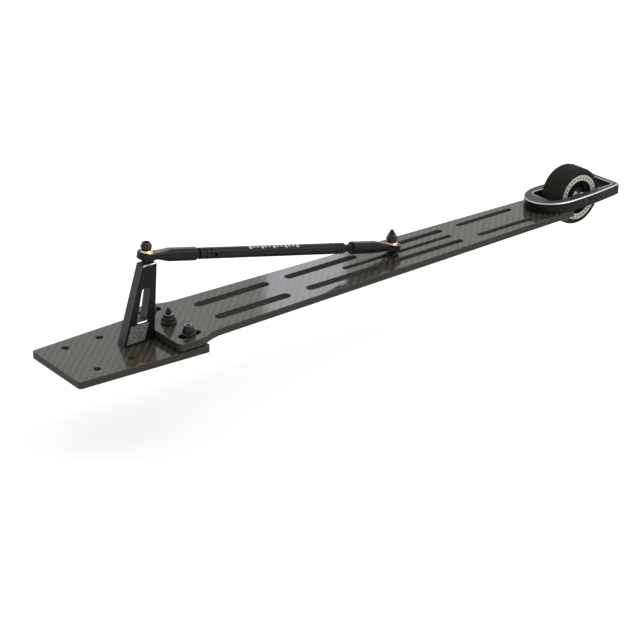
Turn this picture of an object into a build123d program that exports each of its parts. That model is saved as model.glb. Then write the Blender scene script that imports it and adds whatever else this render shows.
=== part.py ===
from build123d import *
import os
from collections import namedtuple
from math import hypot, sqrt

# Wheelie bar for a radio-controlled drag car, in millimetres.
# +X runs rearwards to the wheel, +Z is up, and the model is symmetric about Y = 0.
# The origin is the centre of the four chassis bolt holes, on the tail plate's bottom face.

# ---- driving dimensions ----------------------------------------------------------------------

CLEAR = 0.05  # radial clearance of a bolt or shaft in its hole

# tail plate: the rear end of the chassis plate
TAIL_FRONT_X, TAIL_REAR_X = -20.0, 39.7
TAIL_FRONT_HALF, TAIL_REAR_HALF = 18.2, 21.5
TAIL_THICK = 3.0
CHASSIS_HOLE_X, CHASSIS_HOLE_Y, CHASSIS_HOLE_R = 8.0, 12.0, 1.6

# bar plank: pad at the mount, S-curve, long taper, fork round the wheel
PLANK_LOW, PLANK_HIGH = 3.7, 6.7
PLANK_FRONT_X, PLANK_REAR_X = 25.5, 254.0
PAD_HALF, PAD_END_X = 20.9, 34.0
TAPER_START_X, TAPER_START_HALF = 48.0, 17.45
TAPER_SLOPE = -0.02577
FORK_X, FORK_HALF = 243.9, 7.5
EDGE_BREAK = 0.25
EDGE_WIDE, EDGE_DEEP = 0.3, 0.12  # rounded-over top edges of the carbon plates

# lightening slots: (front x, rear x, y of each, width)
LONG_SLOTS = (
    (51.8, 89.8, (-7.6, 7.6), 4.2),
    (99.2, 138.1, (-7.6, 7.6), 3.9),
    (148.3, 187.7, (-7.2, 7.2), 3.1),
    (124.9, 187.3, (0.0,), 2.4),
    (197.1, 231.1, (-7.3, 7.3), 2.7),
)
SIDE_SLOT_FRONT_X, SIDE_SLOT_REAR_X, SIDE_SLOT_WIDTH = 28.9, 39.4, 3.7

# fasteners that hold the plank to the tail plate
CENTRE_MOUNT = (33.8, 0.0)
SIDE_MOUNTS = ((33.7, -14.4), (33.7, 14.4))
WASHER_THICK = 0.4
NUT_SEAT = PLANK_HIGH + 0.3
CENTRE_HOLE_R = 1.9

# tower
TOWER_HALF_THICK = 2.65
TOWER_TOP = 35.9
TOWER_TOP_X = (21.2, 27.7)
TOWER_FOOT_X = (10.4, 25.2)
WINDOW_LOW, WINDOW_HIGH = 12.0, 26.1
FRONT_LEG_LOW, FRONT_LEG_HIGH = 3.7, 2.5
REAR_LEG_LOW, REAR_LEG_HIGH = 4.2, 2.6
TOWER_CORNER_R, WINDOW_TOP_R, WINDOW_SILL_R = 0.8, 1.2, 0.5
TOWER_CHAMFER = 0.35
TOWER_TAP_DEPTH, FOOT_TAP_DEPTH, TAP_SPARE = 8.3, 6.3, 0.3
TOWER_SCREWS = ((15.9, 0.0), (21.9, 0.0))

# tie rod: ball centres, ball studs, rod ends and turnbuckle
FRONT_BALL_X, FRONT_BALL_Z = 24.4, 38.95
REAR_BALL_X, REAR_BALL_Z = 152.2, 10.15
BALL_R, BALL_HALF_HEIGHT = 3.0, 2.3
SOCKET_R, MOUTH_CHAMFER = 3.3, 0.2
EYE_R, EYE_HALF, EYE_CHAMFER = 3.95, 1.5, 0.3
ROD_END_LENGTH, ROD_END_R, SHANK_CHAMFER = 23.9, 2.85, 0.35
NECK_START, NECK_END = 3.3, 10.5
NECK_WIDE, NECK_HIGH, NECK_CORNER_R = 5.0, 2.9, 0.9
STUD_BORE_START, STUD_START = 11.0, 13.5
TUBE_R, TUBE_FRONT_GAP, TUBE_REAR_GAP = 2.4, 1.5, 4.4
TUBE_BORE_DEPTH, STUD_IN_TUBE = 6.2, 6.0
RING_GROOVES, GROOVE_WIDE, GROOVE_DEEP = (2.6, 4.9), 0.5, 0.2
PIN_HOLE_INSET, PIN_HOLE_R = 7.6, 0.8

# metric hardware: thread radius, head radius and height, and key size across flats
Bolt = namedtuple("Bolt", "r head_r head_high key")
M3 = Bolt(r=1.5, head_r=2.8, head_high=1.6, key=2.0)
M25 = Bolt(r=1.25, head_r=2.2, head_high=1.3, key=1.5)
SINK_DEPTH, KEY_DEPTH = 1.3, 0.9
COLLAR_WALL, COLLAR_SHARE = 0.35, 0.45
CENTRE_TIP, SIDE_TIP, REAR_TIP, POINT = 13.4, 11.2, 18.1, 1.6
CAP_HEAD_R, CAP_TOP_R = 2.3, 1.6
CAP_RIM, CAP_BROW, CAP_TOP = 1.2, 2.0, 3.3  # heights above the cap screw's seat

# wheel carrier
CARRIER_FRONT_X, CARRIER_REAR_X = 236.0, 286.0
CARRIER_HIGH = 11.8
NOSE_END_X, CARRIER_HALF, CARRIER_REAR_HALF = 252.0, 12.2, 9.3
WELL_FRONT_X, WELL_REAR_X, WELL_HALF = 243.7, 283.0, 7.5
CARRIER_CHAMFER, CARRIER_CORNER_R = 0.4, 0.8
WELL_EDGE_WIDE, WELL_EDGE_DEEP = 0.6, 0.1
NOSE_SCREW = (239.9, 0.0)
PRONG_SCREWS = ((249.3, -9.8), (249.3, 9.8))
CARRIER_SCREW_TOP = 10.3

# wheel
AXLE_X, AXLE_Z = 262.3, 9.25
AXLE_HALF = 11.6
TYRE_R, TYRE_HALF, TREAD_HALF, SHOULDER_R = 13.6, 6.2, 3.4, 12.3
RIM_R, RING_INNER_R, RIM_HALF, RING_THICK = 10.8, 8.2, 6.0, 0.5
BEARING_OUTER_R, BEARING_INNER_R, BEARING_IN, BEARING_OUT = 3.0, 2.0, 2.1, 4.6
FLANGE_R, FLANGE_START_Y, FLANGE_END_Y = 2.8, 5.4, 7.45

# ---- derived values --------------------------------------------------------------------------

ROD_DX, ROD_DZ = REAR_BALL_X - FRONT_BALL_X, REAR_BALL_Z - FRONT_BALL_Z
ROD_LENGTH = hypot(ROD_DX, ROD_DZ)
ROD_UNIT = (ROD_DX / ROD_LENGTH, ROD_DZ / ROD_LENGTH)
TUBE_START = ROD_END_LENGTH + TUBE_FRONT_GAP
TUBE_END = ROD_LENGTH - ROD_END_LENGTH - TUBE_REAR_GAP
BALL_FLAT_R = sqrt(BALL_R**2 - BALL_HALF_HEIGHT**2)

# Local X runs from the ball centre along the rod; local Z is the axis of the eye.
FRONT_ROD = Plane(
    origin=(FRONT_BALL_X, 0, FRONT_BALL_Z),
    x_dir=(ROD_UNIT[0], 0, ROD_UNIT[1]),
    z_dir=(-ROD_UNIT[1], 0, ROD_UNIT[0]),
)
REAR_ROD = Plane(
    origin=(REAR_BALL_X, 0, REAR_BALL_Z),
    x_dir=(-ROD_UNIT[0], 0, -ROD_UNIT[1]),
    z_dir=(-ROD_UNIT[1], 0, ROD_UNIT[0]),
)
AXLE_PLANE = Plane(origin=(AXLE_X, 0, AXLE_Z), x_dir=(1, 0, 0), z_dir=(0, 0, 1))

UPWARD = (Align.CENTER, Align.CENTER, Align.MIN)
DOWNWARD = (Align.CENTER, Align.CENTER, Align.MAX)

# groups of places
CENTRE = (CENTRE_MOUNT,)
FRONT_STUD = ((FRONT_BALL_X, 0),)
REAR_STUD = ((REAR_BALL_X, 0),)
NOSE = (NOSE_SCREW,)

# locknuts: size across flats, flange radius, and heights of seat, flange, hexagon and collar
Nut = namedtuple("Nut", "bolt af flange_r seat flange_top hex_top collar_top")
CENTRE_NUT = Nut(M3, 5.0, 3.35, NUT_SEAT, 7.8, 9.4, 10.8)
SIDE_NUT = Nut(M25, 4.2, 3.0, NUT_SEAT, 7.7, 9.8, 11.1)
REAR_NUT = Nut(M3, 4.6, 2.1, REAR_BALL_Z + BALL_HALF_HEIGHT, 13.1, 15.0, 15.9)


def half_width(x):
    """Half-width of the plank on its straight taper."""
    return TAPER_START_HALF + TAPER_SLOPE * (x - TAPER_START_X)


def save(part, name):
    """Label a finished piece and write its STEP file."""
    part.label = name
    export_step(part, f"parts/{name}.step")


# ---- shared shapes ---------------------------------------------------------------------------


def turned(places, steps, bore_r=0.0):
    """Upright turned solids: steps are (low z, high z, low radius, high radius)."""
    with BuildPart() as stack:
        for low, high, low_r, high_r in steps:
            with Locations(*[(x, y, low) for x, y in places]):
                if low_r == high_r:
                    Cylinder(low_r, high - low, align=UPWARD)
                else:
                    Cone(low_r, high_r, high - low, align=UPWARD)
        if bore_r:
            bottom = min(step[0] for step in steps)
            top = max(step[1] for step in steps)
            with Locations(*[(x, y, bottom) for x, y in places]):
                Cylinder(bore_r, top - bottom, align=UPWARD, mode=Mode.SUBTRACT)
    return stack.part


def key_socket(part, places, low, across_flats):
    """Cut a hexagonal key socket upwards into the head at each place."""
    with BuildPart() as keyed:
        add(part)
        with BuildSketch(Plane.XY.offset(low)):
            with Locations(*places):
                RegularPolygon(across_flats / 2, 6, major_radius=False)
        extrude(amount=KEY_DEPTH, mode=Mode.SUBTRACT)
    return keyed.part


def shank_steps(bolt, low, tip, pointed):
    """Steps of a screw's shank, with a short cone at the tip if it is pointed."""
    if not pointed:
        return [(low, tip, bolt.r, bolt.r)]
    return [(low, tip - POINT, bolt.r, bolt.r), (tip - POINT, tip, bolt.r, bolt.r / 2)]


def sunk_screws(bolt, places, tip, pointed=False):
    """Countersunk screws whose heads lie flush with the tail plate's bottom face."""
    head = [(0, SINK_DEPTH, bolt.head_r, bolt.r)]
    screws = turned(places, head + shank_steps(bolt, SINK_DEPTH, tip, pointed))
    return key_socket(screws, places, 0, bolt.key)


def button_screws(bolt, places, tip, pointed=False):
    """Button-head screws that come up from below the plank."""
    bottom = PLANK_LOW - bolt.head_high
    waist = PLANK_LOW - bolt.head_high / 2
    head = [
        (bottom, waist, bolt.head_r * 0.7, bolt.head_r),
        (waist, PLANK_LOW, bolt.head_r, bolt.head_r),
    ]
    screws = turned(places, head + shank_steps(bolt, PLANK_LOW, tip, pointed))
    return key_socket(screws, places, bottom, bolt.key)


def locknuts(nut, places):
    """Flanged locknuts with a round collar on top of the hexagon."""
    collar_r = nut.af * COLLAR_SHARE
    bore_r = nut.bolt.r + CLEAR
    collar_high = nut.collar_top - nut.hex_top
    with BuildPart() as nuts:
        with Locations(*[(x, y, nut.seat) for x, y in places]):
            Cylinder(nut.flange_r, nut.flange_top - nut.seat, align=UPWARD)
        with BuildSketch(Plane.XY.offset(nut.flange_top)):
            with Locations(*places):
                RegularPolygon(nut.af / 2, 6, major_radius=False)
        extrude(amount=nut.hex_top - nut.flange_top)
        with Locations(*[(x, y, nut.hex_top) for x, y in places]):
            Cylinder(collar_r, collar_high, align=UPWARD)
        chamfer(nuts.edges().filter_by(GeomType.CIRCLE).group_by(Axis.Z)[-1], EDGE_BREAK)
        with Locations(*[(x, y, nut.seat) for x, y in places]):
            Cylinder(bore_r, nut.collar_top - nut.seat, align=UPWARD, mode=Mode.SUBTRACT)
        with Locations(*[(x, y, nut.hex_top) for x, y in places]):
            Cylinder(collar_r - COLLAR_WALL, collar_high, align=UPWARD, mode=Mode.SUBTRACT)
    return nuts.part


def nut_inserts(nut, places):
    """Nylon rings inside the locknuts' collars."""
    ring_r = nut.af * COLLAR_SHARE - COLLAR_WALL
    steps = [(nut.hex_top, nut.collar_top - 2 * CLEAR, ring_r, ring_r)]
    return turned(places, steps, nut.bolt.r + CLEAR)


def pivot_ball(x, z):
    """Hollow pivot ball: a sphere with flat ends and a bolt bore."""
    with BuildPart() as ball:
        with Locations((x, 0, z)):
            Sphere(BALL_R)
            Box(2 * BALL_R, 2 * BALL_R, 2 * BALL_HALF_HEIGHT, mode=Mode.INTERSECT)
            Cylinder(M3.r + CLEAR, 2 * BALL_R, mode=Mode.SUBTRACT)
    return ball.part


def rod_end(plane):
    """Moulded rod end: an eye round the ball, a flattened neck and a round shank."""

    def across(distance):
        """Plane square to the rod, at a distance from the ball centre."""
        return Plane(
            origin=plane.from_local_coords(Vector(distance, 0, 0)),
            x_dir=plane.y_dir,
            z_dir=plane.x_dir,
        )

    with BuildPart() as body:
        with BuildSketch(plane):
            Circle(EYE_R)
        extrude(amount=EYE_HALF, both=True)
        chamfer(body.edges().filter_by(GeomType.CIRCLE), EYE_CHAMFER)
        with BuildSketch(across(NECK_START)):
            RectangleRounded(NECK_WIDE, NECK_HIGH, NECK_CORNER_R)
        with BuildSketch(across(NECK_END)):
            Circle(ROD_END_R)
        loft()
        with BuildSketch(across(NECK_END)):
            Circle(ROD_END_R)
        extrude(amount=ROD_END_LENGTH - NECK_END)
        shank_end = body.faces().sort_by(Axis(plane.origin, plane.x_dir))[-1]
        chamfer(shank_end.edges(), SHANK_CHAMFER)
        with BuildSketch(across(STUD_BORE_START)):
            Circle(M3.r + CLEAR)
        extrude(amount=ROD_END_LENGTH - STUD_BORE_START, mode=Mode.SUBTRACT)
        with Locations(plane.origin):
            Sphere(SOCKET_R, mode=Mode.SUBTRACT)
        eye_axis = Axis(plane.origin, plane.z_dir)
        flat_faces = body.faces().filter_by(GeomType.PLANE).filter_by(eye_axis)
        for face in (flat_faces.sort_by(eye_axis)[0], flat_faces.sort_by(eye_axis)[-1]):
            chamfer(face.inner_wires()[0].edges(), MOUTH_CHAMFER)
    return body.part


# ---- tail: chassis end, tower, front ball stud and plank fasteners -----------------------------


def make_tail_plate():
    """Rear end of the chassis plate, countersunk from below for its screws."""
    with BuildPart() as tail_plate:
        with BuildSketch():
            with BuildLine():
                Polyline(
                    (TAIL_FRONT_X, -TAIL_FRONT_HALF),
                    (TAIL_REAR_X, -TAIL_REAR_HALF),
                    (TAIL_REAR_X, TAIL_REAR_HALF),
                    (TAIL_FRONT_X, TAIL_FRONT_HALF),
                    close=True,
                )
            make_face()
            fillet(vertices(), 1.5)
        extrude(amount=TAIL_THICK)
        top = tail_plate.faces().sort_by(Axis.Z)[-1]
        chamfer(top.edges(), EDGE_WIDE, EDGE_DEEP, reference=top)
        with GridLocations(2 * CHASSIS_HOLE_X, 2 * CHASSIS_HOLE_Y, 2, 2):
            Cylinder(CHASSIS_HOLE_R, 2 * TAIL_THICK, mode=Mode.SUBTRACT)
        for bolt, places in ((M3, CENTRE), (M25, SIDE_MOUNTS + TOWER_SCREWS)):
            hole_r = bolt.r + CLEAR
            head_r = bolt.head_r + CLEAR
            with Locations(*[(x, y, 0) for x, y in places]):
                Cylinder(hole_r, TAIL_THICK, align=UPWARD, mode=Mode.SUBTRACT)
                Cone(head_r, hole_r, SINK_DEPTH, align=UPWARD, mode=Mode.SUBTRACT)
    return tail_plate.part


def make_tower():
    """Slanted tower with a tall round-topped window and a solid foot."""

    def front_x(z):
        """X of the tower's front edge at height z."""
        share = (z - TAIL_THICK) / (TOWER_TOP - TAIL_THICK)
        return TOWER_FOOT_X[0] + share * (TOWER_TOP_X[0] - TOWER_FOOT_X[0])

    def rear_x(z):
        """X of the tower's rear edge at height z."""
        share = (z - TAIL_THICK) / (TOWER_TOP - TAIL_THICK)
        return TOWER_FOOT_X[1] + share * (TOWER_TOP_X[1] - TOWER_FOOT_X[1])

    with BuildPart() as tower:
        with BuildSketch(Plane.XZ):
            with BuildLine():
                Polyline(
                    (TOWER_FOOT_X[0], TAIL_THICK),
                    (TOWER_FOOT_X[1], TAIL_THICK),
                    (TOWER_TOP_X[1], TOWER_TOP),
                    (TOWER_TOP_X[0], TOWER_TOP),
                    close=True,
                )
            make_face()
            fillet(vertices().group_by(Axis.Y)[-1], TOWER_CORNER_R)
            with BuildLine():
                Polyline(
                    (front_x(WINDOW_LOW) + FRONT_LEG_LOW, WINDOW_LOW),
                    (rear_x(WINDOW_LOW) - REAR_LEG_LOW, WINDOW_LOW),
                    (rear_x(WINDOW_HIGH) - REAR_LEG_HIGH, WINDOW_HIGH),
                    (front_x(WINDOW_HIGH) + FRONT_LEG_HIGH, WINDOW_HIGH),
                    close=True,
                )
            make_face(mode=Mode.SUBTRACT)
        extrude(amount=TOWER_HALF_THICK, both=True)
        upright = tower.edges().filter_by(Axis.Y)
        window_top = upright.filter_by_position(Axis.Z, WINDOW_HIGH - 0.1, WINDOW_HIGH + 0.1)
        window_sill = upright.filter_by_position(Axis.Z, WINDOW_LOW - 0.1, WINDOW_LOW + 0.1)
        fillet(window_top, WINDOW_TOP_R)
        fillet(window_sill, WINDOW_SILL_R)
        chamfer(tower.faces().filter_by(Axis.Y).edges(), TOWER_CHAMFER)
        with Locations((FRONT_BALL_X, 0, TOWER_TOP)):
            Cylinder(M3.r + CLEAR, TOWER_TAP_DEPTH, align=DOWNWARD, mode=Mode.SUBTRACT)
        with Locations(*[(x, y, TAIL_THICK) for x, y in TOWER_SCREWS]):
            Cylinder(M25.r + CLEAR, FOOT_TAP_DEPTH, align=UPWARD, mode=Mode.SUBTRACT)
    return tower.part


def make_front_ball_spacer():
    """Conical spacer between the tower and the front ball."""
    foot_r, foot_high = 2.1, 0.3
    top = FRONT_BALL_Z - BALL_HALF_HEIGHT
    steps = [
        (TOWER_TOP, TOWER_TOP + foot_high, foot_r, foot_r),
        (TOWER_TOP + foot_high, top, foot_r, BALL_FLAT_R),
    ]
    return turned(FRONT_STUD, steps, M3.r + CLEAR)


def make_front_ball_screw():
    """M3 cap screw with a domed head, down through the ball into the tower."""
    seat = FRONT_BALL_Z + BALL_HALF_HEIGHT
    rim, brow, top = seat + CAP_RIM, seat + CAP_BROW, seat + CAP_TOP
    tip = TOWER_TOP - TOWER_TAP_DEPTH + TAP_SPARE
    steps = [
        (tip, seat, M3.r, M3.r),
        (seat, rim, BALL_FLAT_R, CAP_HEAD_R),
        (rim, brow, CAP_HEAD_R, CAP_HEAD_R),
        (brow, top, CAP_HEAD_R, CAP_TOP_R),
    ]
    screw = turned(FRONT_STUD, steps)
    return key_socket(screw, FRONT_STUD, top - KEY_DEPTH, M3.key)


def make_mount_screws():
    """One M3 and two M2.5 countersunk screws, up through the tail plate and the plank."""
    with BuildPart() as mount_screws:
        add(sunk_screws(M3, CENTRE, CENTRE_TIP, pointed=True))
        add(sunk_screws(M25, SIDE_MOUNTS, SIDE_TIP))
    return mount_screws.part


def make_mount_washers():
    """Flat washers that space the plank off the tail plate."""
    top = TAIL_THICK + WASHER_THICK
    with BuildPart() as washers:
        add(turned(CENTRE, [(TAIL_THICK, top, 3.0, 3.0)], M3.r + CLEAR))
        add(turned(SIDE_MOUNTS, [(TAIL_THICK, top, 2.6, 2.6)], M25.r + CLEAR))
    return washers.part


# ---- bar: plank, rear ball stud and wheel carrier ----------------------------------------------


def make_bar_plank():
    """Slotted carbon plank, forked at its rear end round the wheel."""
    rear_half = half_width(PLANK_REAR_X)
    with BuildPart() as plank:
        with BuildSketch(Plane.XY.offset(PLANK_LOW)):
            with BuildLine():
                front = Line((PLANK_FRONT_X, 0), (PLANK_FRONT_X, PAD_HALF))
                pad = Line(front @ 1, (PAD_END_X, PAD_HALF))
                curve = Bezier(
                    pad @ 1,
                    (PAD_END_X + 5.5, PAD_HALF),
                    (TAPER_START_X - 6.5, half_width(TAPER_START_X - 6.5)),
                    (TAPER_START_X, TAPER_START_HALF),
                )
                taper = Line(curve @ 1, (PLANK_REAR_X, rear_half))
                prong = Line(taper @ 1, (PLANK_REAR_X, FORK_HALF))
                inside = Line(prong @ 1, (FORK_X, FORK_HALF))
                Line(inside @ 1, (FORK_X, 0))
                mirror(about=Plane.XZ)
            make_face()
            corners = vertices().filter_by_position(Axis.X, PLANK_FRONT_X - 1, PLANK_FRONT_X + 1)
            fillet(corners.group_by(Axis.Y)[0] + corners.group_by(Axis.Y)[-1], 2.0)
            fork_corners = vertices().filter_by_position(Axis.X, FORK_X - 1, FORK_X + 1)
            fillet(fork_corners.group_by(Axis.Y)[0] + fork_corners.group_by(Axis.Y)[-1], 2.0)
            fillet(vertices().group_by(Axis.X)[-1], 1.5)
            for front_x, rear_x, rows, width in LONG_SLOTS:
                with Locations(*[((front_x + rear_x) / 2, y) for y in rows]):
                    SlotOverall(rear_x - front_x, width, mode=Mode.SUBTRACT)
            side_x = (SIDE_SLOT_FRONT_X + SIDE_SLOT_REAR_X) / 2
            with Locations(*[(side_x, y) for _, y in SIDE_MOUNTS]):
                SlotOverall(
                    SIDE_SLOT_REAR_X - SIDE_SLOT_FRONT_X, SIDE_SLOT_WIDTH, mode=Mode.SUBTRACT
                )
            with Locations(CENTRE_MOUNT):
                Circle(CENTRE_HOLE_R, mode=Mode.SUBTRACT)
            with Locations((REAR_BALL_X, 0), NOSE_SCREW):
                Circle(M3.r + CLEAR, mode=Mode.SUBTRACT)
            with Locations(*PRONG_SCREWS):
                Circle(M25.r + CLEAR, mode=Mode.SUBTRACT)
        extrude(amount=PLANK_HIGH - PLANK_LOW)
        top = plank.faces().sort_by(Axis.Z)[-1]
        chamfer(top.edges(), EDGE_WIDE, EDGE_DEEP, reference=top)
    return plank.part


def make_rear_ball_spacer():
    """Flanged spacer that stands the rear ball off the plank."""
    foot_r, foot_high, cone_r = 3.0, 0.35, 2.5
    top = REAR_BALL_Z - BALL_HALF_HEIGHT
    steps = [
        (PLANK_HIGH, PLANK_HIGH + foot_high, foot_r, foot_r),
        (PLANK_HIGH + foot_high, top, cone_r, BALL_FLAT_R),
    ]
    return turned(REAR_STUD, steps, M3.r + CLEAR)


def make_wheel_carrier():
    """Machined frame with a round nose and a long well for the wheel."""
    with BuildPart() as carrier:
        with BuildSketch(Plane.XY.offset(PLANK_HIGH)):
            with BuildLine():
                EllipticalCenterArc(
                    (NOSE_END_X, 0),
                    NOSE_END_X - CARRIER_FRONT_X,
                    CARRIER_HALF,
                    start_angle=90,
                    arc_size=90,
                )
                side = TangentArc(
                    (NOSE_END_X, CARRIER_HALF), (CARRIER_REAR_X, CARRIER_REAR_HALF), tangent=(1, 0)
                )
                Line(side @ 1, (CARRIER_REAR_X, 0))
                mirror(about=Plane.XZ)
            make_face()
            fillet(vertices().group_by(Axis.X)[-1], CARRIER_CORNER_R)
        extrude(amount=CARRIER_HIGH - PLANK_HIGH)
        chamfer(carrier.faces().sort_by(Axis.Z)[-1].edges(), CARRIER_CHAMFER)
        with BuildSketch(Plane.XY.offset(PLANK_HIGH)):
            with Locations(((WELL_FRONT_X + WELL_REAR_X) / 2, 0)):
                Rectangle(WELL_REAR_X - WELL_FRONT_X, 2 * WELL_HALF)
            fillet(vertices().group_by(Axis.X)[0], 3.0)
            fillet(vertices().group_by(Axis.X)[-1], 1.0)
        extrude(amount=CARRIER_HIGH - PLANK_HIGH, mode=Mode.SUBTRACT)
        top = carrier.faces().sort_by(Axis.Z)[-1]
        well_edges = top.inner_wires()[0].edges()
        chamfer(well_edges, WELL_EDGE_WIDE, WELL_EDGE_DEEP, reference=top)
        with Locations((AXLE_X, 0, AXLE_Z)):
            Cylinder(M3.r + CLEAR, 4 * CARRIER_HALF, rotation=(90, 0, 0), mode=Mode.SUBTRACT)
        depth = CARRIER_SCREW_TOP + TAP_SPARE - PLANK_HIGH
        for bolt, places in ((M3, NOSE), (M25, PRONG_SCREWS)):
            with Locations(*[(x, y, PLANK_HIGH) for x, y in places]):
                Cylinder(bolt.r + CLEAR, depth, align=UPWARD, mode=Mode.SUBTRACT)
    return carrier.part


def make_carrier_screws():
    """Button-head screws, up through the plank into the carrier."""
    with BuildPart() as carrier_screws:
        add(button_screws(M3, NOSE, CARRIER_SCREW_TOP))
        add(button_screws(M25, PRONG_SCREWS, CARRIER_SCREW_TOP))
    return carrier_screws.part


# ---- axle, bearings and wheel ------------------------------------------------------------------


def spun(*profiles):
    """Solids of revolution about the axle: each profile lists (y, radius) corners."""
    with BuildPart() as body:
        with BuildSketch(Plane.XY):
            for corners in profiles:
                with BuildLine():
                    Polyline(*[(radius, y) for y, radius in corners], close=True)
                make_face()
        revolve(axis=Axis.Y)
    return AXLE_PLANE.location * body.part


def both_sides(corners):
    """A profile and its mirror image across the wheel's middle."""
    return corners, [(-y, radius) for y, radius in reversed(corners)]


def tube_profile(y_low, y_high, inner, outer):
    """Rectangular profile of a plain ring."""
    return [(y_low, inner), (y_high, inner), (y_high, outer), (y_low, outer)]


def make_wheel_axle():
    """Axle pin across the carrier, with a key socket in its far end."""
    with BuildPart() as axle:
        with BuildSketch(Plane.XZ):
            with Locations((AXLE_X, AXLE_Z)):
                Circle(M3.r)
        extrude(amount=AXLE_HALF, both=True)
        chamfer(axle.edges().filter_by(GeomType.CIRCLE), EDGE_BREAK)
        with BuildSketch(Plane.XZ.offset(-AXLE_HALF)):
            with Locations((AXLE_X, AXLE_Z)):
                RegularPolygon(M25.key / 2, 6, major_radius=False)
        extrude(amount=2 * KEY_DEPTH, mode=Mode.SUBTRACT)
    return axle.part


def make_axle_spacers():
    """Flanged spacers that centre the bearings between the carrier's rails."""
    bore = M3.r + CLEAR
    corners = [
        (BEARING_OUT + 0.02, bore),
        (FLANGE_END_Y, bore),
        (FLANGE_END_Y, FLANGE_R),
        (FLANGE_START_Y + 0.5, FLANGE_R),
        (FLANGE_START_Y, BEARING_INNER_R),
        (BEARING_OUT + 0.02, BEARING_INNER_R),
    ]
    return spun(*both_sides(corners))


def make_bearing_inner_races():
    """Inner races, clamped on the axle."""
    return spun(
        *both_sides(tube_profile(BEARING_IN, BEARING_OUT, M3.r + CLEAR, BEARING_INNER_R))
    )


def make_bearing_outer_races():
    """Outer races with their thin shields, pressed into the wheel core."""
    low, high, shield = BEARING_IN - 0.05, BEARING_OUT - 0.05, 0.2
    mid_r, shield_r = BEARING_OUTER_R - 0.5, BEARING_INNER_R + 0.1
    corners = [
        (low, BEARING_OUTER_R),
        (low, shield_r),
        (low + shield, shield_r),
        (low + shield, mid_r),
        (high - shield, mid_r),
        (high - shield, shield_r),
        (high, shield_r),
        (high, BEARING_OUTER_R),
    ]
    return spun(*both_sides(corners))


def make_wheel_core():
    """Moulded wheel: barrel, dished web and bearing boss in one piece."""
    face_y = RIM_HALF - RING_THICK
    half = [
        (0, RIM_R),
        (face_y, RIM_R),
        (face_y, RING_INNER_R),
        (face_y - 0.8, RING_INNER_R),
        (face_y - 1.4, 9.3),
        (2.2, 9.3),
        (1.3, 8.2),
        (1.3, 4.6),
        (BEARING_OUT, 4.1),
        (BEARING_OUT, BEARING_OUTER_R),
        (BEARING_IN - 0.1, BEARING_OUTER_R),
        (BEARING_IN - 0.1, 2.2),
    ]
    return spun(half + [(-y, radius) for y, radius in reversed(half[1:])])


def make_rim_rings():
    """Pale face rings, one on each side of the wheel."""
    corners = tube_profile(RIM_HALF - RING_THICK, RIM_HALF, RING_INNER_R, RIM_R)
    return spun(*both_sides(corners))


def make_tyre():
    """Slick tyre: flat tread, round shoulders and sidewalls that taper to the bead."""
    bead_y = RIM_HALF - 0.1
    with BuildPart() as tyre:
        with BuildSketch(Plane.XY):
            with BuildLine():
                inner = Line((RIM_R, -bead_y), (RIM_R, bead_y))
                wall = Line(inner @ 1, (SHOULDER_R, TYRE_HALF))
                shoulder = ThreePointArc(
                    wall @ 1, (TYRE_R - 0.35, (TYRE_HALF + TREAD_HALF) / 2 + 0.3), (TYRE_R, TREAD_HALF)
                )
                tread = Line(shoulder @ 1, (TYRE_R, -TREAD_HALF))
                far_shoulder = ThreePointArc(
                    tread @ 1,
                    (TYRE_R - 0.35, -(TYRE_HALF + TREAD_HALF) / 2 - 0.3),
                    (SHOULDER_R, -TYRE_HALF),
                )
                Line(far_shoulder @ 1, inner @ 0)
            make_face()
        revolve(axis=Axis.Y)
    return AXLE_PLANE.location * tyre.part


# ---- turnbuckle --------------------------------------------------------------------------------


def station(distance):
    """Plane square to the rod, at a distance from the front ball centre."""
    return Plane(
        origin=FRONT_ROD.from_local_coords(Vector(distance, 0, 0)),
        x_dir=FRONT_ROD.y_dir,
        z_dir=FRONT_ROD.x_dir,
    )


def make_turnbuckle_tube():
    """Round turnbuckle body: ring grooves, cross holes for a turning pin and tapped ends."""
    with BuildPart() as tube:
        with BuildSketch(station(TUBE_START)):
            Circle(TUBE_R)
        extrude(amount=TUBE_END - TUBE_START)
        chamfer(tube.edges().filter_by(GeomType.CIRCLE), EDGE_BREAK)
        groove_starts = [TUBE_START + inset for inset in RING_GROOVES]
        groove_starts += [TUBE_END - inset - GROOVE_WIDE for inset in RING_GROOVES]
        for start in groove_starts:
            with BuildSketch(station(start)):
                Circle(TUBE_R + CLEAR)
                Circle(TUBE_R - GROOVE_DEEP, mode=Mode.SUBTRACT)
            extrude(amount=GROOVE_WIDE, mode=Mode.SUBTRACT)
        for start in (TUBE_START, TUBE_END - TUBE_BORE_DEPTH):
            with BuildSketch(station(start)):
                Circle(M3.r + CLEAR)
            extrude(amount=TUBE_BORE_DEPTH, mode=Mode.SUBTRACT)
        rear_hole = FRONT_ROD.from_local_coords(Vector(TUBE_END - PIN_HOLE_INSET, 0, 0))
        with BuildSketch(Plane(origin=rear_hole, x_dir=FRONT_ROD.x_dir, z_dir=FRONT_ROD.z_dir)):
            Circle(PIN_HOLE_R)
        extrude(amount=2 * TUBE_R, both=True, mode=Mode.SUBTRACT)
        front_hole = FRONT_ROD.from_local_coords(Vector(TUBE_START + PIN_HOLE_INSET, 0, 0))
        with BuildSketch(Plane(origin=front_hole, x_dir=FRONT_ROD.x_dir, z_dir=FRONT_ROD.y_dir)):
            Circle(PIN_HOLE_R)
        extrude(amount=2 * TUBE_R, both=True, mode=Mode.SUBTRACT)
    return tube.part


def make_thread_stud(start, end):
    """M3 threaded stud, drawn as its outer cylinder."""
    with BuildPart() as stud:
        with BuildSketch(station(start)):
            Circle(M3.r)
        extrude(amount=end - start)
    return stud.part


# ---- build every piece -------------------------------------------------------------------------

os.makedirs("parts", exist_ok=True)

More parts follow.
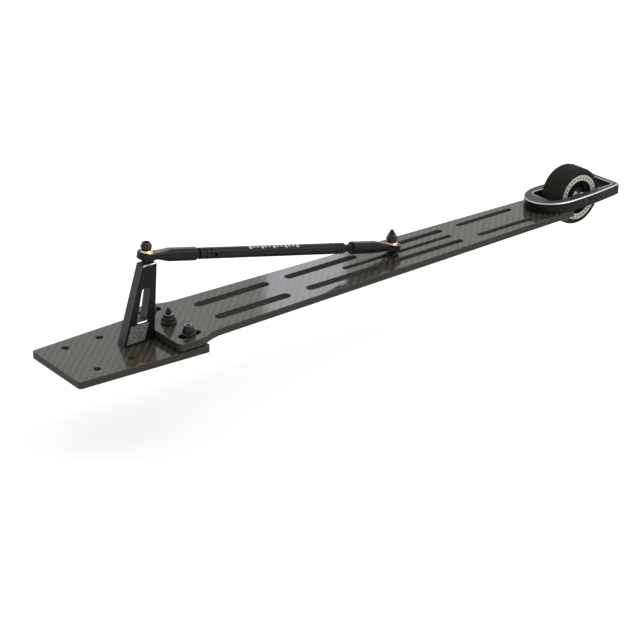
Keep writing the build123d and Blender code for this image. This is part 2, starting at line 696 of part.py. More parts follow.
save(make_tail_plate(), "tail_plate")
save(make_tower(), "tower")
save(sunk_screws(M25, TOWER_SCREWS, TAIL_THICK + FOOT_TAP_DEPTH - TAP_SPARE), "tower_screws")
save(make_front_ball_spacer(), "front_ball_spacer")
save(pivot_ball(FRONT_BALL_X, FRONT_BALL_Z), "front_pivot_ball")
save(make_front_ball_screw(), "front_ball_screw")
save(make_mount_screws(), "mount_screws")
save(make_mount_washers(), "mount_washers")
save(locknuts(CENTRE_NUT, CENTRE), "centre_locknut")
save(nut_inserts(CENTRE_NUT, CENTRE), "centre_nut_insert")
save(locknuts(SIDE_NUT, SIDE_MOUNTS), "side_locknuts")
save(nut_inserts(SIDE_NUT, SIDE_MOUNTS), "side_nut_inserts")

save(make_bar_plank(), "bar_plank")
save(button_screws(M3, REAR_STUD, REAR_TIP, pointed=True), "rear_ball_screw")
save(make_rear_ball_spacer(), "rear_ball_spacer")
save(pivot_ball(REAR_BALL_X, REAR_BALL_Z), "rear_pivot_ball")
save(locknuts(REAR_NUT, REAR_STUD), "rear_locknut")
save(nut_inserts(REAR_NUT, REAR_STUD), "rear_nut_insert")
save(make_wheel_carrier(), "wheel_carrier")
save(make_carrier_screws(), "carrier_screws")
save(make_wheel_axle(), "wheel_axle")
save(make_axle_spacers(), "axle_spacers")
save(make_bearing_inner_races(), "bearing_inner_races")

save(make_bearing_outer_races(), "bearing_outer_races")
save(make_wheel_core(), "wheel_core")
save(make_rim_rings(), "rim_rings")
save(make_tyre(), "tyre")

save(rod_end(FRONT_ROD), "front_rod_end")
save(rod_end(REAR_ROD), "rear_rod_end")
save(make_turnbuckle_tube(), "turnbuckle_tube")
save(make_thread_stud(STUD_START, TUBE_START + STUD_IN_TUBE), "front_thread_stud")
save(make_thread_stud(TUBE_END - STUD_IN_TUBE, ROD_LENGTH - STUD_START), "rear_thread_stud")
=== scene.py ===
import math

import bmesh
import bpy
from mathutils import Matrix, Vector


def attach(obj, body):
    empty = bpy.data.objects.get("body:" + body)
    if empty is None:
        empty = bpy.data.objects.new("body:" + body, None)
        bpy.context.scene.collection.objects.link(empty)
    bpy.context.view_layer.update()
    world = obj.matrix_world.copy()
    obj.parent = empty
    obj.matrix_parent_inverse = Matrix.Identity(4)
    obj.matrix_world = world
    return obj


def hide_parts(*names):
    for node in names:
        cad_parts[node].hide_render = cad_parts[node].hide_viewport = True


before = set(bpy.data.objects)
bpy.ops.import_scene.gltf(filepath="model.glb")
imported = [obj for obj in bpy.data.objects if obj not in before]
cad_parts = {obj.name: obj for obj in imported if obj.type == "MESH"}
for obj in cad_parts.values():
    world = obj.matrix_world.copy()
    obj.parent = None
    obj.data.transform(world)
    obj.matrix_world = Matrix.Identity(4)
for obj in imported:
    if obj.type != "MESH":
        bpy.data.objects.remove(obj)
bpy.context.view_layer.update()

# ---- the part's own dimensions, in millimetres -------------------------------------------------

MM = 0.001
CENTRE_MOUNT = (33.8, 0.0)
SIDE_MOUNTS = ((33.7, -14.4), (33.7, 14.4))
PLANK_LOW = 3.7
FRONT_BALL = Vector((24.4, 0.0, 38.95))
REAR_BALL = Vector((152.2, 0.0, 10.15))
AXLE = Vector((262.3, 0.0, 9.25))
ROD = (REAR_BALL - FRONT_BALL).normalized()
ROD_UP = Vector((-ROD.z, 0.0, ROD.x))
ROD_LENGTH = (REAR_BALL - FRONT_BALL).length
STUD_START, TUBE_START, TUBE_END, STUD_IN_TUBE = 13.5, 25.4, 102.7, 6.0
M3_R, M3_PITCH, M25_R, M25_PITCH = 1.5, 0.5, 1.25, 0.45
TURNS = 48


# ---- mesh helpers ------------------------------------------------------------------------------


def finish_mesh(name, mesh_data, material, body, replaced=(), sharp=32.0):
    """Turn a bmesh in millimetres into a named piece that rides on a body."""
    bmesh.ops.remove_doubles(mesh_data, verts=mesh_data.verts, dist=1e-5)
    bmesh.ops.recalc_face_normals(mesh_data, faces=mesh_data.faces)
    bmesh.ops.scale(mesh_data, vec=(MM, MM, MM), verts=mesh_data.verts)
    for face in mesh_data.faces:
        face.smooth = True
    for edge in mesh_data.edges:
        if len(edge.link_faces) == 2:
            edge.smooth = edge.calc_face_angle() < math.radians(sharp)
    mesh = bpy.data.meshes.new(name)
    mesh_data.to_mesh(mesh)
    mesh_data.free()
    mesh.materials.append(material)
    piece = bpy.data.objects.new(name, mesh)
    bpy.context.scene.collection.objects.link(piece)
    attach(piece, body)
    if replaced:
        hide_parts(*replaced)
    return piece


def add_rings(mesh_data, rings, place, closed=False):
    """Skin a stack of rings about Z; each ring is (radius, height), or a function of the angle."""
    rows = []
    for ring in rings:
        row = []
        for step in range(TURNS):
            angle = 2 * math.pi * step / TURNS
            radius, height = ring(angle) if callable(ring) else ring
            point = Vector((radius * math.cos(angle), radius * math.sin(angle), height))
            row.append(mesh_data.verts.new(place @ point))
        rows.append(row)
    if closed:
        rows.append(rows[0])
    for low, high in zip(rows, rows[1:]):
        for step in range(TURNS):
            after = (step + 1) % TURNS
            mesh_data.faces.new((low[step], low[after], high[after], high[step]))


def hexagon(across_flats, angle):
    """Radius of a hexagon at an angle."""
    part = (angle + math.pi / 6) % (math.pi / 3) - math.pi / 6
    return across_flats / 2 / math.cos(part)


def hex_ring(across_flats, height, limit=1e9):
    """Hexagonal ring whose corners are turned down to a limit radius."""
    return lambda angle: (min(hexagon(across_flats, angle), limit), height)


def thread_rings(radius, pitch, low, high, hand=1, tip_r=None):
    """Rings of a V thread between two heights; it runs out at both ends."""
    depth = 0.6 * pitch
    count = int((high - low) / (pitch / 10))

    def ring_at(height, share):
        crest = radius
        if tip_r is not None and height > high - 1.6:
            crest = radius - (radius - tip_r) * (height - high + 1.6) / 1.6
        fade = min(1.0, share * count / 5, (1 - share) * count / 5)

        def ring(angle):
            phase = (height / pitch - hand * angle / (2 * math.pi)) % 1.0
            groove = max(0.0, 1.25 * (1 - abs(2 * phase - 1)) - 0.12)
            return crest - depth * fade * min(groove, 1.0), height

        return ring

    return [ring_at(low + (high - low) * k / count, k / count) for k in range(count + 1)]


def at(x, y, z=0.0):
    """Placement at a point, standing upright."""
    return Matrix.Translation((x, y, z))


def along_rod():
    """Placement whose Z axis runs along the tie rod from the front ball."""
    axes = Matrix((ROD_UP.to_tuple(), (0, 1, 0), ROD.to_tuple())).transposed()
    axes.col[1] = ROD.cross(ROD_UP)
    return Matrix.Translation(FRONT_BALL) @ axes.to_4x4()


# ---- material helpers --------------------------------------------------------------------------


class Graph:
    """Shader nodes of one material, with short-hands for the common kinds."""

    def __init__(self, name):
        self.material = bpy.data.materials.new(name)
        self.material.use_nodes = True
        self.tree = self.material.node_tree
        self.shader = self.tree.nodes["Principled BSDF"]

    def put(self, socket, value):
        if isinstance(value, bpy.types.NodeSocket):
            self.tree.links.new(value, socket)
        elif value is not None:
            socket.default_value = value

    def node(self, kind, inputs=None, **settings):
        new = self.tree.nodes.new("ShaderNode" + kind)
        for key, value in settings.items():
            setattr(new, key, value)
        for key, value in (inputs or {}).items():
            self.put(new.inputs[key], value)
        return new

    def math(self, operation, *values):
        new = self.node("Math", operation=operation)
        for socket, value in zip(new.inputs, values):
            self.put(socket, value)
        return new.outputs[0]

    def spread(self, value, low, high, to_low=0.0, to_high=1.0):
        """Map a value from one range to another, clamped."""
        names = ("Value", "From Min", "From Max", "To Min", "To Max")
        values = (value, low, high, to_low, to_high)
        return self.node("MapRange", dict(zip(names, values))).outputs[0]

    def mix(self, share, first, second):
        """Blend two colours."""
        new = self.node("Mix", data_type="RGBA")
        for index, value in ((0, share), (6, first), (7, second)):
            if isinstance(value, tuple):
                value = (*value, 1.0)
            self.put(new.inputs[index], value)
        return new.outputs[2]

    def place(self):
        """The point on the part, in millimetres, as a vector."""
        coords = self.node("TexCoord").outputs["Object"]
        return self.node(
            "VectorMath", {0: coords, 1: (1000.0,) * 3}, operation="MULTIPLY"
        ).outputs[0]

    def xyz(self, vector):
        return self.node("SeparateXYZ", {0: vector}).outputs

    def join(self, x=0.0, y=0.0, z=0.0):
        return self.node("CombineXYZ", {0: x, 1: y, 2: z}).outputs[0]

    def dot(self, vector, direction):
        return self.node(
            "VectorMath", {0: vector, 1: tuple(direction)}, operation="DOT_PRODUCT"
        ).outputs["Value"]

    def minus(self, vector, offset):
        return self.node(
            "VectorMath", {0: vector, 1: tuple(offset)}, operation="SUBTRACT"
        ).outputs[0]

    def noise(self, vector, scale, detail=2.0, roughness=0.5):
        values = {"Vector": vector, "Scale": scale, "Detail": detail, "Roughness": roughness}
        return self.node("TexNoise", values).outputs["Fac"]

    def facing(self):
        """The flat face normal, in the part's frame."""
        return self.node("NewGeometry").outputs["True Normal"]

    def bump(self, height, distance, strength=1.0):
        """Bump the base from a height field; distance is in millimetres."""
        values = {"Height": height, "Distance": distance * MM, "Strength": strength}
        self.put(self.shader.inputs["Normal"], self.node("Bump", values).outputs[0])

    def set(self, **values):
        names = {
            "color": "Base Color",
            "rough": "Roughness",
            "metal": "Metallic",
            "ior": "IOR",
            "coat": "Coat Weight",
            "coat_rough": "Coat Roughness",
            "coat_ior": "Coat IOR",
            "level": "Specular IOR Level",
        }
        for key, value in values.items():
            if isinstance(value, tuple):
                value = (*value, 1.0)
            self.put(self.shader.inputs[names[key]], value)
        return self.material


def between(graph, value, low, high):
    """1 where a value lies between two limits, else 0."""
    above = graph.math("GREATER_THAN", value, low)
    below = graph.math("LESS_THAN", value, high)
    return graph.math("MULTIPLY", above, below)


# ---- materials ---------------------------------------------------------------------------------

TOW = 0.94  # width of one carbon tow, mm


def carbon_material(name):
    """Clear-coated 2x2 twill on the flat faces, matt laminations on the cut edges."""
    g = Graph(name)
    place = g.place()
    x, y, z = g.xyz(place)
    u, v = g.math("DIVIDE", x, TOW), g.math("DIVIDE", y, TOW)
    u_cell, v_cell = g.math("FLOOR", u), g.math("FLOOR", v)
    u_part, v_part = g.math("FRACT", u), g.math("FRACT", v)
    phase = g.math("FLOORED_MODULO", g.math("SUBTRACT", u_cell, v_cell), 4.0)
    weft = g.math("LESS_THAN", phase, 1.5)
    warp = g.math("SUBTRACT", 1.0, weft)

    def pick(warp_value, weft_value):
        """One value on warp tows and another on weft tows."""
        first = g.math("MULTIPLY", warp, warp_value)
        return g.math("MULTIPLY_ADD", weft, weft_value, first)

    def bulge(value):
        """Parabola that is 1 in the middle of 0..1 and 0 at both ends."""
        off = g.math("MULTIPLY_ADD", value, 2.0, -1.0)
        return g.math("SUBTRACT", 1.0, g.math("MULTIPLY", off, off))

    across = bulge(pick(v_part, u_part))
    warp_run = g.math("MULTIPLY_ADD", g.math("ADD", phase, u_part), 0.5, -1.0)
    weft_run = g.math("MULTIPLY_ADD", g.math("SUBTRACT", v_part, phase), 0.5, 0.5)
    run = bulge(pick(warp_run, weft_run))
    crown = g.math("MULTIPLY", g.math("POWER", across, 0.5), g.math("POWER", run, 0.35))

    tow_id = pick(g.math("ADD", v_cell, 500.0), u_cell)
    tow_tone = g.node("TexWhiteNoise", {"W": tow_id}, noise_dimensions="1D").outputs["Value"]
    warp_fibres = g.noise(g.join(g.math("MULTIPLY", u, 0.7), g.math("MULTIPLY", v, 22.0)), 1.0)
    weft_fibres = g.noise(g.join(g.math("MULTIPLY", u, 22.0), g.math("MULTIPLY", v, 0.7)), 1.0)
    fibres = pick(warp_fibres, weft_fibres)
    cloudy = g.noise(place, 0.035)

    tone = pick(0.70, 0.22)
    tone = g.math("MULTIPLY", tone, g.spread(crown, 0.0, 0.7, 0.25, 1.0))
    tone = g.math("ADD", tone, g.spread(tow_tone, 0.0, 1.0, -0.10, 0.10))
    tone = g.math("ADD", tone, g.spread(fibres, 0.3, 0.7, -0.12, 0.12))
    tone = g.math("ADD", tone, g.spread(cloudy, 0.3, 0.7, -0.08, 0.08))
    woven = g.mix(tone, (0.005, 0.005, 0.003), (0.056, 0.049, 0.031))

    layer = g.math("FRACT", g.math("MULTIPLY", z, 4.0))
    streaks = g.noise(g.join(g.math("MULTIPLY", x, 1.5), g.math("MULTIPLY", y, 1.5),
                             g.math("MULTIPLY", z, 9.0)), 1.0, 3.0)
    edge_tone = g.math("ADD", g.spread(layer, 0.0, 0.25, -0.2, 0.15), streaks)
    cut = g.mix(edge_tone, (0.003, 0.003, 0.002), (0.036, 0.034, 0.027))

    _, _, up = g.xyz(g.facing())
    flat = g.math("GREATER_THAN", g.math("ABSOLUTE", up), 0.35)
    color = g.mix(flat, cut, woven)
    rough = g.math("MULTIPLY_ADD", flat, -0.12, g.spread(fibres, 0.3, 0.7, 0.52, 0.6))
    g.bump(g.math("ADD", crown, g.math("MULTIPLY", fibres, 0.25)), 0.05, 0.6)
    coat = g.math("MULTIPLY", flat, 0.66)
    return g.set(color=color, rough=rough, coat=coat, coat_rough=0.07, coat_ior=1.5, ior=1.25)


def anodised_material(name, bright_low, bright_high, use_side):
    """Black anodised aluminium; faces turned between two limits are bright machined chamfers. Faces
    turned up get a painted sheen, and on the tower the faces turned to the front get a painted
    highlight.
    """
    g = Graph(name)
    place = g.place()
    grain = g.noise(place, 9.0, 3.0, 0.6)
    broad = g.noise(place, 0.12)
    ahead, side, up = g.xyz(g.facing())
    turned = g.math("ABSOLUTE", side) if use_side else up
    bright = between(g, turned, bright_low, bright_high)
    if use_side:
        bright = g.math("MULTIPLY", bright, g.math("GREATER_THAN", up, 0.3))
    black = g.mix(broad, (0.003, 0.003, 0.004), (0.007, 0.007, 0.008))
    # painted sheen: faces turned up are lightened towards blue-grey, standing in for the reflection
    # of the light above
    black = g.mix(g.spread(up, 0.8, 0.98), black, (0.034, 0.036, 0.045))
    if use_side:
        x, _, z = g.xyz(place)
        lean = g.math("MULTIPLY_ADD", z, -0.33, x)
        panel = g.math("MULTIPLY", between(g, lean, 10.4, 19.0), between(g, z, 3.8, 11.2))
        panel = g.math("MULTIPLY", panel, g.math("GREATER_THAN", turned, 0.95))
        grit = g.spread(g.noise(place, 2.4, 3.0), 0.3, 0.7)
        blasted = g.mix(grit, (0.02, 0.02, 0.018), (0.18, 0.18, 0.16))
        # painted highlight: on the tower the faces turned to the front are lightened, as if lit from
        # the front-left
        black = g.mix(g.math("LESS_THAN", ahead, -0.8), black, (0.036, 0.037, 0.038))
        black = g.mix(panel, black, blasted)
    silver = g.mix(grain, (0.30, 0.30, 0.31), (0.58, 0.58, 0.59))
    rough_black = g.spread(grain, 0.3, 0.7, 0.24, 0.34)
    rough = g.math("MULTIPLY_ADD", bright, 0.06, rough_black)
    g.bump(grain, 0.004, 0.5)
    return g.set(color=g.mix(bright, black, silver), metal=bright, rough=rough, ior=1.2)


def tube_material(name):
    """Black anodised tube with a row of pale printed ticks along its upper side."""
    g = Graph(name)
    place = g.place()
    offset = g.minus(place, FRONT_BALL)
    along = g.dot(offset, ROD)
    around = g.math("ARCTAN2", g.math("MULTIPLY", g.dot(offset, (0, 1, 0)), -1.0),
                    g.dot(offset, ROD_UP))
    index = g.math("FLOOR", g.math("DIVIDE", along, 2.1))
    part = g.math("FRACT", g.math("DIVIDE", along, 2.1))
    third = g.math("LESS_THAN", g.math("FLOORED_MODULO", index, 3.0), 0.5)
    reach = g.math("MULTIPLY_ADD", third, 0.18, 0.55)
    wide = g.math("MULTIPLY_ADD", third, 0.16, 0.42)
    tick = g.math("LESS_THAN", part, wide)
    tick = g.math("MULTIPLY", tick, between(g, along, 50.4, 77.7))
    tick = g.math("MULTIPLY", tick, g.math("GREATER_THAN", around, 0.0))
    tick = g.math("MULTIPLY", tick, g.math("LESS_THAN", around, reach))
    grain = g.noise(place, 8.0, 3.0, 0.6)
    turned = g.noise(g.join(g.math("MULTIPLY", along, 14.0)), 1.0, 2.0)
    wear = g.math("GREATER_THAN", g.noise(place, 2.6, 4.0), 0.36)
    tick = g.math("MULTIPLY", tick, wear)
    black = g.mix(grain, (0.003, 0.003, 0.003), (0.008, 0.008, 0.009))
    rough = g.math("MULTIPLY_ADD", turned, 0.12, 0.22)
    rough = g.math("MULTIPLY_ADD", tick, 0.2, rough)
    g.bump(turned, 0.003, 0.5)
    return g.set(color=g.mix(tick, black, (0.42, 0.40, 0.34)), rough=rough, ior=1.25)


def oxide_material(name):
    """Black oxide steel, slightly oily and brown in places."""
    g = Graph(name)
    place = g.place()
    grain = g.noise(place, 6.0, 4.0, 0.65)
    broad = g.noise(place, 0.7)
    color = g.mix(broad, (0.008, 0.008, 0.008), (0.026, 0.024, 0.021))
    g.bump(grain, 0.008, 0.6)
    return g.set(color=color, rough=g.spread(grain, 0.3, 0.7, 0.26, 0.46), metal=0.3, ior=1.35)


def bright_material(name):
    """Bright turned steel with fine tool lines."""
    g = Graph(name)
    place = g.place()
    lines = g.noise(g.join(g.dot(place, (9, 0, 2)), g.dot(place, (0, 14, 0)),
                           g.dot(place, (2, 0, 9))), 1.0, 3.0)
    stain = g.noise(place, 0.9)
    color = g.mix(stain, (0.42, 0.41, 0.40), (0.66, 0.66, 0.66))
    g.bump(lines, 0.004, 0.5)
    return g.set(color=color, metal=1.0, rough=g.spread(lines, 0.3, 0.7, 0.2, 0.38))


def gilt_material(name):
    """Polished gold-coloured ball with light rub marks."""
    g = Graph(name)
    place = g.place()
    marks = g.noise(g.join(g.dot(place, (3, 0, 0)), g.dot(place, (0, 3, 0)),
                           g.dot(place, (0, 0, 22))), 1.0, 3.0)
    color = g.mix(g.noise(place, 1.4), (0.62, 0.36, 0.11), (0.90, 0.66, 0.34))
    g.bump(marks, 0.003, 0.4)
    return g.set(color=color, metal=1.0, rough=g.spread(marks, 0.3, 0.7, 0.1, 0.2))


def nylon_material(name, dark, light, low, high, painted_top_highlight=0.0):
    """Moulded nylon with a fine orange-peel skin; a painted lavender highlight lightens the faces
    turned up.
    """
    g = Graph(name)
    place = g.place()
    peel = g.noise(place, 3.2, 3.0)
    fine = g.noise(place, 14.0, 2.0)
    color = g.mix(g.noise(place, 0.3), dark, light)
    _, _, up = g.xyz(g.facing())
    # painted highlight: faces turned up are blended towards pale lavender, standing in for the
    # softbox's reflection on the top
    color = g.mix(g.spread(up, 0.82, 1.0, 0.0, painted_top_highlight), color, (0.62, 0.61, 0.68))
    g.bump(g.math("ADD", peel, g.math("MULTIPLY", fine, 0.4)), 0.02, 0.5)
    return g.set(color=color, rough=g.spread(peel, 0.3, 0.7, low, high), ior=1.25)


def ring_material(name):
    """Pale satin ring with dark printed ticks round its face."""
    g = Graph(name)
    place = g.place()
    dx, side, dz = g.xyz(g.minus(place, AXLE))
    radius = g.math("SQRT", g.math("ADD", g.math("MULTIPLY", dx, dx), g.math("MULTIPLY", dz, dz)))
    turn = g.math("MULTIPLY_ADD", g.math("ARCTAN2", dz, dx), 30 / (2 * math.pi), 15.0)
    index, part = g.math("FLOOR", turn), g.math("FRACT", turn)
    seed = g.math("MULTIPLY_ADD", g.math("SIGN", side), 40.0, index)
    draw = g.node("TexWhiteNoise", {"W": seed}, noise_dimensions="1D").outputs["Value"]
    tick = g.math("LESS_THAN", part, g.spread(draw, 0.0, 1.0, 0.34, 0.56))
    tick = g.math("MULTIPLY", tick, g.math("GREATER_THAN", radius, g.spread(draw, 0, 1, 8.7, 9.0)))
    tick = g.math("MULTIPLY", tick, g.math("LESS_THAN", radius, g.spread(draw, 0, 1, 10.3, 9.9)))
    grain = g.noise(place, 5.0, 3.0)
    scuff = g.noise(g.join(g.math("MULTIPLY", radius, 6.0), turn), 1.0, 3.0)
    pale = g.mix(g.noise(place, 0.35), (0.27, 0.25, 0.21), (0.42, 0.40, 0.35))
    pale = g.mix(g.spread(scuff, 0.62, 0.8, 0.0, 0.5), pale, (0.30, 0.28, 0.25))
    g.bump(g.math("SUBTRACT", g.math("MULTIPLY", grain, 0.2), tick), 0.03, 0.5)
    rough = g.spread(grain, 0.3, 0.7, 0.32, 0.48)
    return g.set(color=g.mix(tick, pale, (0.060, 0.058, 0.054)), rough=rough)


def rubber_material(name):
    """Slick tyre: brownish black, dull, with scrubbed rings round the tread."""
    g = Graph(name)
    place = g.place()
    dx, side, dz = g.xyz(g.minus(place, AXLE))
    fine = g.noise(place, 7.0, 4.0, 0.7)
    patch = g.noise(place, 0.22, 3.0)
    scrub = g.noise(g.join(g.math("MULTIPLY", side, 5.0), g.math("MULTIPLY", dx, 0.25),
                           g.math("MULTIPLY", dz, 0.25)), 1.0, 3.0)
    tone = g.math("MULTIPLY_ADD", fine, 0.35, g.math("MULTIPLY_ADD", scrub, 0.35,
                                                    g.math("MULTIPLY", patch, 0.5)))
    color = g.mix(g.spread(tone, 0.35, 0.85), (0.003, 0.003, 0.002), (0.013, 0.012, 0.009))
    g.bump(g.math("ADD", fine, g.math("MULTIPLY", scrub, 0.6)), 0.035, 0.7)
    return g.set(color=color, rough=g.spread(fine, 0.3, 0.7, 0.62, 0.82), ior=1.22)


MATERIALS = {
    "carbon": carbon_material("carbon_twill"),
    "carrier": anodised_material("carrier_anodised", 0.3, 0.992, False),
    "tower": anodised_material("tower_anodised", 0.3, 0.9, True),
    "spacer": anodised_material("spacer_anodised", 2.0, 3.0, False),
    "tube": tube_material("tube_anodised"),
    "oxide": oxide_material("black_oxide"),
    "bright": bright_material("turned_steel"),
    "gilt": gilt_material("gilt_ball_coating"),
    # the last value on the rod ends is the strength of their painted top highlight
    "rod_end": nylon_material("rod_end_nylon", (0.002, 0.002, 0.002), (0.005, 0.005, 0.005),
                              0.26, 0.4, 0.2),
    "insert": nylon_material("insert_nylon", (0.42, 0.43, 0.45), (0.56, 0.57, 0.60), 0.45, 0.6),
    "wheel": nylon_material("wheel_nylon", (0.007, 0.007, 0.008), (0.017, 0.016, 0.016),
                            0.34, 0.5),
    "ring": ring_material("rim_ring_satin"),
    "tyre": rubber_material("tyre_rubber"),
}

NODE_MATERIALS = {
    "carbon": ("tail_plate", "bar_plank"),
    "carrier": ("wheel_carrier",),
    "tower": ("tower",),
    "spacer": ("front_ball_spacer", "rear_ball_spacer"),
    "tube": ("turnbuckle_tube",),
    "oxide": ("tower_screws", "mount_screws", "mount_washers", "centre_locknut", "side_locknuts",
              "front_ball_screw", "rear_ball_screw", "rear_locknut", "carrier_screws",
              "wheel_axle", "front_thread_stud", "rear_thread_stud"),
    "bright": ("axle_spacers", "bearing_inner_races", "bearing_outer_races"),
    "gilt": ("front_pivot_ball", "rear_pivot_ball"),
    "rod_end": ("front_rod_end", "rear_rod_end"),
    "insert": ("centre_nut_insert", "side_nut_inserts", "rear_nut_insert"),
    "wheel": ("wheel_core",),
    "ring": ("rim_rings",),
    "tyre": ("tyre",),
}

for key, names in NODE_MATERIALS.items():
    for name in names:
        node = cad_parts[name]
        node.data.materials.clear()
        node.data.materials.append(MATERIALS[key])


# ---- threaded hardware -------------------------------------------------------------------------


def screw_rings(head, radius, pitch, low, tip, tip_r):
    """Rings of a whole screw: head profile, thread and a closed end."""
    return head + thread_rings(radius, pitch, low, tip, tip_r=tip_r) + [(0.0, tip)]


def sunk_head(head_r, shank_r, key, floor=0.9):
    """Countersunk head that faces down, with its hexagonal key socket."""
    return [
        (0.0, floor),
        hex_ring(key, floor),
        hex_ring(key, 0.08),
        hex_ring(key + 0.16, 0.0),
        (head_r - 0.12, 0.0),
        (head_r, 0.08),
        (head_r, 0.16),
        (shank_r, 1.3),
    ]


def button_head(head_r, shank_r, key, seat, high):
    """Domed head that faces down under its seat, with its key socket."""
    dome = [
        (head_r * math.sin(turn), seat - high * (0.12 + 0.88 * math.cos(turn)))
        for turn in (0.75, 0.95, 1.12, 1.28, 1.42, math.pi / 2)
    ]
    top = dome[0][1]
    return [
        (0.0, top + 0.9),
        hex_ring(key, top + 0.9),
        hex_ring(key, top + 0.05),
        *dome,
        (head_r, seat),
        (shank_r, seat),
    ]


def locknut_rings(across_flats, bore_r, flange_r, levels):
    """Flanged locknut: chamfered hexagon under a rolled collar."""
    seat, flange_top, hex_top, collar_top = levels
    collar_r, wall = across_flats * 0.45, 0.34
    corner_r = across_flats / 2 / math.cos(math.pi / 6)
    turned = [
        hex_ring(across_flats, hex_top - drop, corner_r - 1.6 * (0.42 - drop))
        for drop in (0.42, 0.34, 0.26, 0.18, 0.1, 0.0)
    ]
    return [
        (bore_r + 0.1, seat),
        (flange_r - 0.12, seat),
        (flange_r, seat + 0.12),
        (flange_r, flange_top - 0.18),
        (flange_r - 0.1, flange_top - 0.06),
        hex_ring(across_flats, flange_top + 0.12, flange_r - 0.1),
        *turned,
        (collar_r, hex_top + 0.02),
        (collar_r, collar_top - 0.28),
        (collar_r - 0.07, collar_top - 0.1),
        (collar_r - 0.22, collar_top),
        (collar_r - 0.3, collar_top - 0.05),
        (collar_r - wall, collar_top - 0.2),
        (collar_r - wall, hex_top + 0.05),
        (bore_r + 0.02, hex_top),
        (bore_r + 0.02, seat + 0.1),
    ]


def build_hardware():
    """Screws, studs and nuts with real threads in place of the CAD's plain cylinders."""
    oxide, steel_slot = MATERIALS["oxide"], "black_oxide_steel"

    screws = bmesh.new()
    centre = screw_rings(sunk_head(2.8, M3_R, 2.0), M3_R, M3_PITCH, 1.3, 13.4, 0.65)
    add_rings(screws, centre, at(*CENTRE_MOUNT))
    side = screw_rings(sunk_head(2.2, M25_R, 1.5), M25_R, M25_PITCH, 1.3, 11.2, 1.0)
    for place in SIDE_MOUNTS:
        add_rings(screws, side, at(*place))
    finish_mesh("threaded_mount_screws", screws, oxide, "tail", ("mount_screws",))

    screw = bmesh.new()
    head = button_head(2.8, M3_R, 2.0, PLANK_LOW, 1.6)
    rings = screw_rings(head, M3_R, M3_PITCH, PLANK_LOW, 18.1, 0.7)
    add_rings(screw, rings, at(REAR_BALL.x, 0.0))
    finish_mesh("threaded_ball_screw", screw, oxide, "bar", ("rear_ball_screw",))

    nuts = (
        ("chamfered_centre_nut", "centre_locknut", "tail", (CENTRE_MOUNT,), 5.0, M3_R, 3.35,
         (7.0, 7.8, 9.4, 10.8)),
        ("chamfered_side_nuts", "side_locknuts", "tail", SIDE_MOUNTS, 4.2, M25_R, 3.0,
         (7.0, 7.7, 9.8, 11.1)),
        ("chamfered_rear_nut", "rear_locknut", "bar", ((REAR_BALL.x, 0.0),), 4.6, M3_R, 2.3,
         (12.45, 13.1, 15.0, 15.9)),
    )
    for name, node, body, places, flats, bore_r, flange_r, levels in nuts:
        nut = bmesh.new()
        for place in places:
            add_rings(nut, locknut_rings(flats, bore_r, flange_r, levels), at(*place), closed=True)
        finish_mesh(name, nut, oxide, body, (node,))

    spans = (
        ("front_thread", "front_thread_stud", STUD_START, TUBE_START + STUD_IN_TUBE, 1),
        ("rear_thread", "rear_thread_stud", TUBE_END - STUD_IN_TUBE, ROD_LENGTH - STUD_START, -1),
    )
    for name, node, low, high, hand in spans:
        stud = bmesh.new()
        body = thread_rings(M3_R, M3_PITCH, low + 0.15, high - 0.15, hand)
        rings = [(0.0, low), (1.2, low), *body, (1.2, high), (0.0, high)]
        add_rings(stud, rings, along_rod())
        finish_mesh(name, stud, oxide, "turnbuckle", (node,))


build_hardware()


# ---- studio ------------------------------------------------------------------------------------


def build_floor():
    """Plain pale floor a little below the part."""
    half, level = 6.0, -0.045
    mesh = bpy.data.meshes.new("floor")
    corners = [(-half, -half, level), (half, -half, level), (half, half, level), (-half, half, level)]
    mesh.from_pydata(corners, [], [(0, 1, 2, 3)])
    g = Graph("floor_paper")
    tone = g.noise(g.place(), 0.004)
    floor = bpy.data.objects.new("floor", mesh)
    mesh.materials.append(
        g.set(color=g.mix(tone, (0.95, 0.95, 0.95), (0.97, 0.97, 0.97)), rough=0.9, level=0.0)
    )
    bpy.context.scene.collection.objects.link(floor)


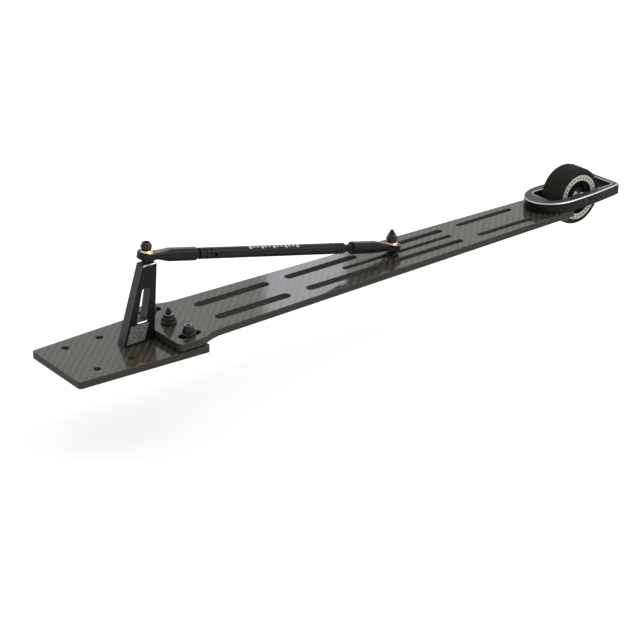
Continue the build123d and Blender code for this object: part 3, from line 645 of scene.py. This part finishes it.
def build_light(name, kind, energy, **settings):
    """A lamp; settings go on its data, apart from where it is and where it points."""
    position = Vector(settings.pop("position"))
    target = Vector(settings.pop("target"))
    data = bpy.data.lights.new(name, kind)
    data.energy = energy
    for key, value in settings.items():
        setattr(data, key, value)
    lamp = bpy.data.objects.new(name, data)
    lamp.location = position
    lamp.rotation_mode = "QUATERNION"
    lamp.rotation_quaternion = (target - position).to_track_quat("-Z", "Y")
    bpy.context.scene.collection.objects.link(lamp)


def build_studio():
    """White surroundings, a broad soft key and a small tinted softbox behind the bar."""
    world = bpy.data.worlds.new("studio")
    world.use_nodes = True
    background = world.node_tree.nodes["Background"]
    background.inputs["Color"].default_value = (1.0, 1.0, 1.0, 1.0)
    tree = world.node_tree
    split = tree.nodes.new("ShaderNodeSeparateXYZ")
    tree.links.new(tree.nodes.new("ShaderNodeTexCoord").outputs["Generated"], split.inputs[0])
    ramp = tree.nodes.new("ShaderNodeMapRange")
    tree.links.new(split.outputs["Z"], ramp.inputs["Value"])
    ramp.inputs["To Min"].default_value, ramp.inputs["To Max"].default_value = 0.9, 1.2
    tree.links.new(ramp.outputs[0], background.inputs["Strength"])
    bpy.context.scene.world = world
    build_light("key", "SUN", 1.2, position=(0.45, -0.6, 0.66), target=(0, 0, 0),
                angle=math.radians(45))
    build_light("softbox", "AREA", 0.066, position=(0.767, 0.861, 0.49),
                target=(0.0977, -0.0085, 0.0067), shape="RECTANGLE", size=0.084, size_y=0.11,
                color=(0.90, 0.88, 1.0))
    bpy.context.scene.view_settings.view_transform = "Standard"


def build_camera():
    """Camera at the working view of the bar."""
    data = bpy.data.cameras.new("camera")
    data.sensor_width = 36.0
    data.lens = 109.3
    data.clip_start, data.clip_end = 0.01, 50.0
    camera = bpy.data.objects.new("camera", data)
    camera.location = (-0.350, -0.5901, 0.3316)
    camera.rotation_euler = (math.radians(65.455), 0.0, math.radians(-37.813))
    bpy.context.scene.collection.objects.link(camera)
    bpy.context.scene.camera = camera


build_floor()
build_studio()
build_camera()
